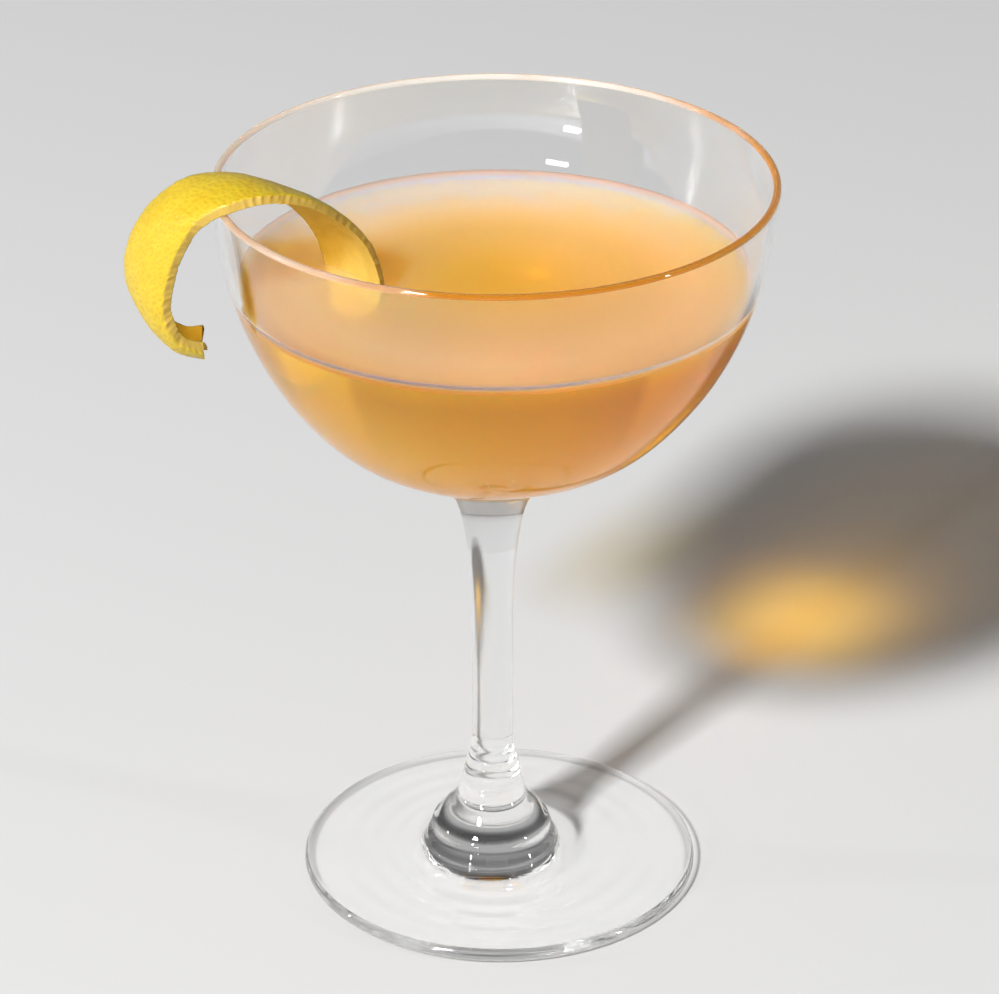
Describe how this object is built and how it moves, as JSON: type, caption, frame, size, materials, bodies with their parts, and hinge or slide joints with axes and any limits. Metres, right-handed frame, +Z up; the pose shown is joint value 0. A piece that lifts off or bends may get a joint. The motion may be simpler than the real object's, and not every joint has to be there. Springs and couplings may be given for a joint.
{
  "type": "sidecar cocktail",
  "caption": "Sidecar cocktail in a stemmed coupe glass: orange drink, with a strip of lemon peel hooked over the rim.",
  "frame": {"origin": "centre of the foot's flat underside, on the surface that the glass stands on", "axes": "+Z up the stem; the lemon peel hangs over the rim on the -X side; -Y faces the viewer of the picture"},
  "size_m": [0.1156, 0.1, 0.1439],
  "materials": {
    "glass": "clear, fire polished, hand made",
    "drink": "liquid: clear amber to cloudy orange, still surface",
    "lemon_twist": "fresh lemon peel: pitted waxy zest, pale pith"
  },
  "bodies": {
    "root": {"glass": "glass", "drink": "drink", "lemon_twist": "lemon_twist"}
  },
  "joints": []
}
